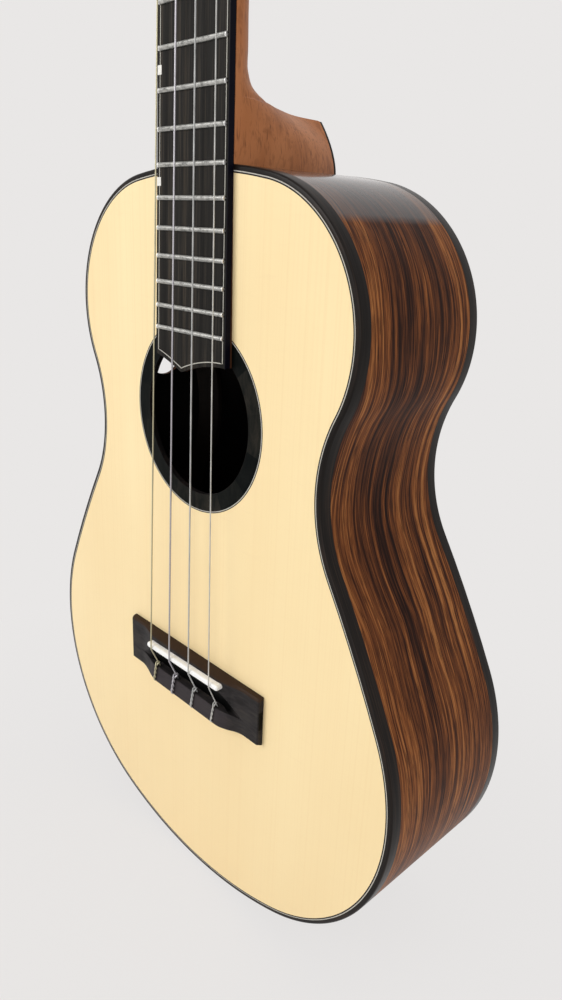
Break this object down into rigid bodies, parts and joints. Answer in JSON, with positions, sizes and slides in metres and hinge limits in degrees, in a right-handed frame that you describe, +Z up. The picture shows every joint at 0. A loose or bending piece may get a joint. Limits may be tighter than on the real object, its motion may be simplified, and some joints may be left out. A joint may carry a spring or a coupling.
{
  "type": "baritone ukulele",
  "caption": "Acoustic baritone ukulele: spruce top, rosewood back and sides with a sound port, slotted tie bridge, fretted neck, open geared tuners whose keys turn the string posts.",
  "frame": {"origin": "The middle of the nut's string edge, in the plane of the soundboard's face.", "axes": "+Z runs up the neck towards the headstock, the front with the strings faces -Y, and the treble side is +X."},
  "size_m": [0.253, 0.0946, 0.7724],
  "materials": {
    "spruce": "clear satin lacquer",
    "rosewood": "clear gloss lacquer",
    "ebony": "oiled, streaked",
    "mahogany": "clear satin lacquer",
    "brace_wood": "sanded, unfinished",
    "bone": "polished",
    "nickel": "polished nickel",
    "nylon": "smooth"
  },
  "bodies": {
    "instrument": {"soundboard": "spruce", "rosette_ring": "ebony", "top_binding": "ebony", "back_binding": "ebony", "bass_side": "rosewood", "treble_side": "rosewood", "back_plate": "rosewood", "neck_block": "mahogany", "tail_block": "mahogany", "top_lining": "brace_wood", "back_lining": "brace_wood", "upper_brace": "brace_wood", "lower_brace": "brace_wood", "bass_bar": "brace_wood", "treble_bar": "brace_wood", "bridge_plate": "brace_wood", "upper_back_brace": "brace_wood", "lower_back_brace": "brace_wood", "neck": "mahogany", "heel_cap": "ebony", "fretboard": "ebony", "nut": "bone", "bridge": "ebony", "saddle": "bone", "fret_01": "nickel", "fret_02": "nickel", "fret_03": "nickel", "fret_04": "nickel", "fret_05": "nickel", "fret_06": "nickel", "fret_07": "nickel", "fret_08": "nickel", "fret_09": "nickel", "fret_10": "nickel", "fret_11": "nickel", "fret_12": "nickel", "fret_13": "nickel", "fret_14": "nickel", "fret_15": "nickel", "fret_16": "nickel", "fret_17": "nickel", "fret_18": "nickel", "fret_19": "nickel", "fret_20": "nickel", "string_1": "nylon", "string_2": "nylon", "string_3": "nylon", "string_4": "nylon", "tuner_plate_1": "nickel", "tuner_plate_2": "nickel", "tuner_plate_3": "nickel", "tuner_plate_4": "nickel"},
    "key_1": {"tuner_key_1": "nickel"},
    "post_1": {"tuner_post_1": "nickel"},
    "key_2": {"tuner_key_2": "nickel"},
    "post_2": {"tuner_post_2": "nickel"},
    "key_3": {"tuner_key_3": "nickel"},
    "post_3": {"tuner_post_3": "nickel"},
    "key_4": {"tuner_key_4": "nickel"},
    "post_4": {"tuner_post_4": "nickel"}
  },
  "joints": [
    {"name": "key_1_turn", "type": "hinge", "parent": "instrument", "child": "key_1", "pos_m": [0.0185, 0.02817, 0.03683], "axis": [1, 0, 0], "continuous": true},
    {"name": "post_1_turn", "type": "hinge", "parent": "instrument", "child": "post_1", "pos_m": [0.0185, 0.02983, 0.04466], "axis": [0, 0.9781, -0.2079], "continuous": true},
    {"name": "key_2_turn", "type": "hinge", "parent": "instrument", "child": "key_2", "pos_m": [0.0185, 0.03815, 0.08378], "axis": [1, 0, 0], "continuous": true},
    {"name": "post_2_turn", "type": "hinge", "parent": "instrument", "child": "post_2", "pos_m": [0.0185, 0.03981, 0.09161], "axis": [0, 0.9781, -0.2079], "continuous": true},
    {"name": "key_3_turn", "type": "hinge", "parent": "instrument", "child": "key_3", "pos_m": [-0.0185, 0.03815, 0.08378], "axis": [1, 0, 0], "continuous": true},
    {"name": "post_3_turn", "type": "hinge", "parent": "instrument", "child": "post_3", "pos_m": [-0.0185, 0.03981, 0.09161], "axis": [0, 0.9781, -0.2079], "continuous": true},
    {"name": "key_4_turn", "type": "hinge", "parent": "instrument", "child": "key_4", "pos_m": [-0.0185, 0.02817, 0.03683], "axis": [1, 0, 0], "continuous": true},
    {"name": "post_4_turn", "type": "hinge", "parent": "instrument", "child": "post_4", "pos_m": [-0.0185, 0.02983, 0.04466], "axis": [0, 0.9781, -0.2079], "continuous": true}
  ],
  "couplings": [
    {"joint": "post_1_turn", "follows": "key_1_turn", "ratio": 0.071429},
    {"joint": "post_2_turn", "follows": "key_2_turn", "ratio": 0.071429},
    {"joint": "post_3_turn", "follows": "key_3_turn", "ratio": 0.071429},
    {"joint": "post_4_turn", "follows": "key_4_turn", "ratio": 0.071429}
  ]
}
